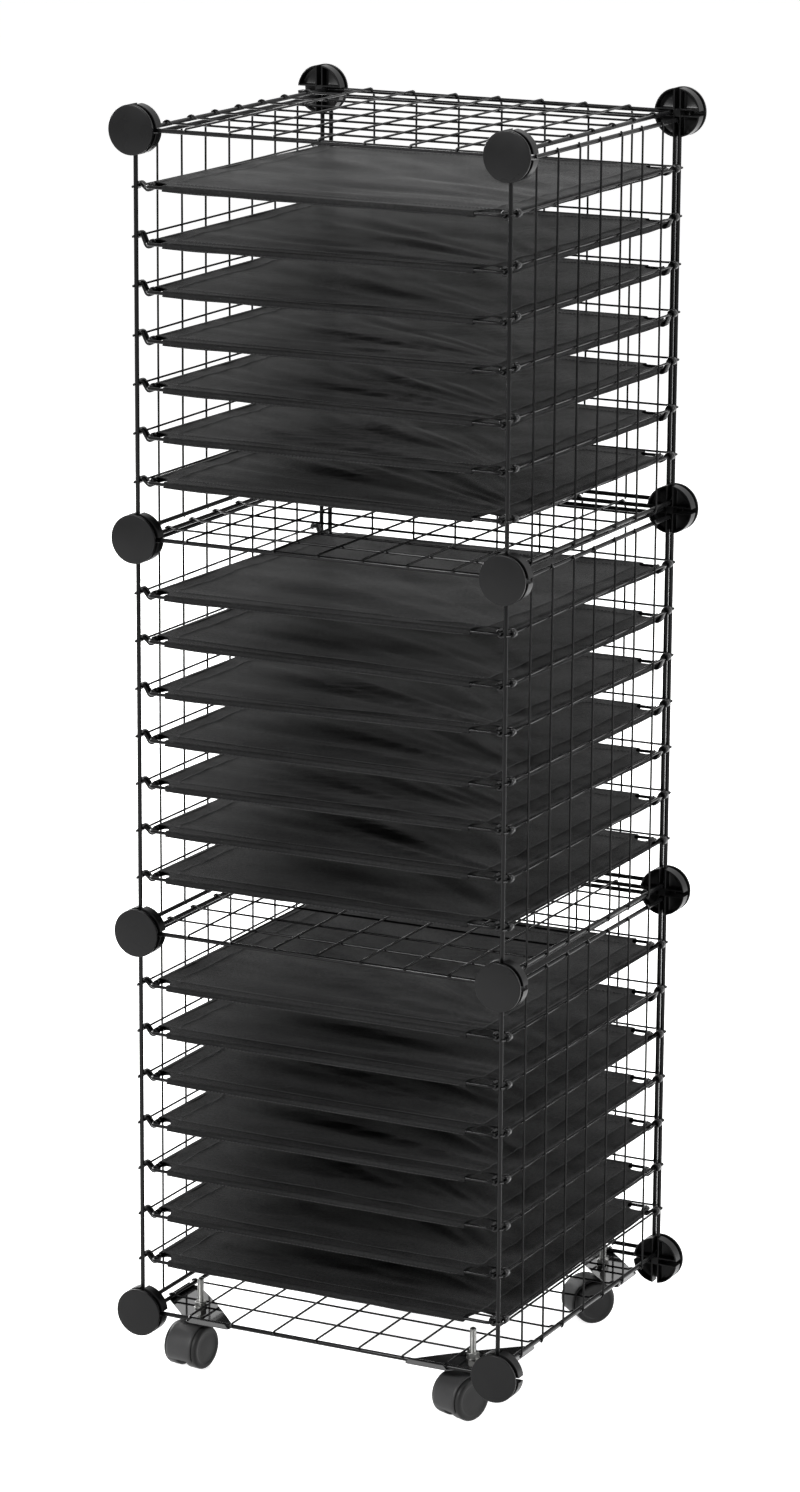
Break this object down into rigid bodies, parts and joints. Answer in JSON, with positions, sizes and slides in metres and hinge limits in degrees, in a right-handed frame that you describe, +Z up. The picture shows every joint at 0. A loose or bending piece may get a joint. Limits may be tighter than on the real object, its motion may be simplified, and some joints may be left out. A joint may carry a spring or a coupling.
{
  "type": "rolling paper storage tower",
  "caption": "Rolling tower of stacked wire-grid cubes, open at the front, with clipped cloth shelves that store flat sheets of paper.",
  "frame": {"origin": "on the floor under the middle of the tower", "axes": "+Z up, -Y out of the open front, +X to the right seen from the front"},
  "size_m": [0.4022, 0.366, 1.1516],
  "materials": {
    "black_wire": "semi-gloss powder coat",
    "black_plastic": "satin moulded plastic",
    "clip_plastic": "moulded plastic",
    "black_cloth": "thin woven cloth with stitched hems",
    "black_plate": "painted sheet steel",
    "zinc_steel": "zinc plated",
    "caster_plastic": "glossy moulded nylon",
    "wheel_plastic": "glossy moulded nylon"
  },
  "bodies": {
    "tower": {"base_panel": "black_wire", "floor_1_panel": "black_wire", "floor_2_panel": "black_wire", "top_panel": "black_wire", "tier_1_right_panel": "black_wire", "tier_1_left_panel": "black_wire", "tier_1_back_panel": "black_wire", "tier_2_right_panel": "black_wire", "tier_2_left_panel": "black_wire", "tier_2_back_panel": "black_wire", "tier_3_right_panel": "black_wire", "tier_3_left_panel": "black_wire", "tier_3_back_panel": "black_wire", "front_connectors": "black_plastic", "rear_connectors": "black_plastic", "tier_1_shelf_frames": "black_wire", "tier_1_shelf_1_cloth": "black_cloth", "tier_1_shelf_2_cloth": "black_cloth", "tier_1_shelf_3_cloth": "black_cloth", "tier_1_shelf_4_cloth": "black_cloth", "tier_1_shelf_5_cloth": "black_cloth", "tier_1_shelf_6_cloth": "black_cloth", "tier_1_shelf_7_cloth": "black_cloth", "tier_2_shelf_frames": "black_wire", "tier_2_shelf_1_cloth": "black_cloth", "tier_2_shelf_2_cloth": "black_cloth", "tier_2_shelf_3_cloth": "black_cloth", "tier_2_shelf_4_cloth": "black_cloth", "tier_2_shelf_5_cloth": "black_cloth", "tier_2_shelf_6_cloth": "black_cloth", "tier_2_shelf_7_cloth": "black_cloth", "tier_3_shelf_frames": "black_wire", "tier_3_shelf_1_cloth": "black_cloth", "tier_3_shelf_2_cloth": "black_cloth", "tier_3_shelf_3_cloth": "black_cloth", "tier_3_shelf_4_cloth": "black_cloth", "tier_3_shelf_5_cloth": "black_cloth", "tier_3_shelf_6_cloth": "black_cloth", "tier_3_shelf_7_cloth": "black_cloth", "shelf_clips": "clip_plastic", "corner_plates": "black_plate", "caster_stems": "zinc_steel", "stem_washers": "zinc_steel", "stem_nuts": "zinc_steel"},
    "front_left_swivel": {"front_left_caster_hood": "caster_plastic", "front_left_caster_axle": "zinc_steel"},
    "front_left_left_wheel": {"front_left_caster_left_wheel": "wheel_plastic"},
    "front_left_right_wheel": {"front_left_caster_right_wheel": "wheel_plastic"},
    "front_right_swivel": {"front_right_caster_hood": "caster_plastic", "front_right_caster_axle": "zinc_steel"},
    "front_right_left_wheel": {"front_right_caster_left_wheel": "wheel_plastic"},
    "front_right_right_wheel": {"front_right_caster_right_wheel": "wheel_plastic"},
    "rear_left_swivel": {"rear_left_caster_hood": "caster_plastic", "rear_left_caster_axle": "zinc_steel"},
    "rear_left_left_wheel": {"rear_left_caster_left_wheel": "wheel_plastic"},
    "rear_left_right_wheel": {"rear_left_caster_right_wheel": "wheel_plastic"},
    "rear_right_swivel": {"rear_right_caster_hood": "caster_plastic", "rear_right_caster_axle": "zinc_steel"},
    "rear_right_left_wheel": {"rear_right_caster_left_wheel": "wheel_plastic"},
    "rear_right_right_wheel": {"rear_right_caster_right_wheel": "wheel_plastic"}
  },
  "joints": [
    {"name": "front_left_caster_swivel", "type": "hinge", "parent": "tower", "child": "front_left_swivel", "pos_m": [-0.1385, -0.1385, 0.048], "axis": [0, 0, 1], "continuous": true},
    {"name": "front_left_left_wheel_roll", "type": "hinge", "parent": "front_left_swivel", "child": "front_left_left_wheel", "pos_m": [-0.1402, -0.1534, 0.02], "axis": [0.9936, -0.1132, 0], "continuous": true},
    {"name": "front_left_right_wheel_roll", "type": "hinge", "parent": "front_left_swivel", "child": "front_left_right_wheel", "pos_m": [-0.1402, -0.1534, 0.02], "axis": [0.9936, -0.1132, 0], "continuous": true},
    {"name": "front_right_caster_swivel", "type": "hinge", "parent": "tower", "child": "front_right_swivel", "pos_m": [0.1385, -0.1385, 0.048], "axis": [0, 0, 1], "continuous": true},
    {"name": "front_right_left_wheel_roll", "type": "hinge", "parent": "front_right_swivel", "child": "front_right_left_wheel", "pos_m": [0.13337, -0.1526, 0.02], "axis": [0.9397, -0.342, 0], "continuous": true},
    {"name": "front_right_right_wheel_roll", "type": "hinge", "parent": "front_right_swivel", "child": "front_right_right_wheel", "pos_m": [0.13337, -0.1526, 0.02], "axis": [0.9397, -0.342, 0], "continuous": true},
    {"name": "rear_left_caster_swivel", "type": "hinge", "parent": "tower", "child": "rear_left_swivel", "pos_m": [-0.1385, 0.1385, 0.048], "axis": [0, 0, 1], "continuous": true},
    {"name": "rear_left_left_wheel_roll", "type": "hinge", "parent": "rear_left_swivel", "child": "rear_left_left_wheel", "pos_m": [-0.14162, 0.12383, 0.02], "axis": [0.9781, -0.2079, 0], "continuous": true},
    {"name": "rear_left_right_wheel_roll", "type": "hinge", "parent": "rear_left_swivel", "child": "rear_left_right_wheel", "pos_m": [-0.14162, 0.12383, 0.02], "axis": [0.9781, -0.2079, 0], "continuous": true},
    {"name": "rear_right_caster_swivel", "type": "hinge", "parent": "tower", "child": "rear_right_swivel", "pos_m": [0.1385, 0.1385, 0.048], "axis": [0, 0, 1], "continuous": true},
    {"name": "rear_right_left_wheel_roll", "type": "hinge", "parent": "rear_right_swivel", "child": "rear_right_left_wheel", "pos_m": [0.12886, 0.12701, 0.02], "axis": [0.766, -0.6428, 0], "continuous": true},
    {"name": "rear_right_right_wheel_roll", "type": "hinge", "parent": "rear_right_swivel", "child": "rear_right_right_wheel", "pos_m": [0.12886, 0.12701, 0.02], "axis": [0.766, -0.6428, 0], "continuous": true}
  ]
}
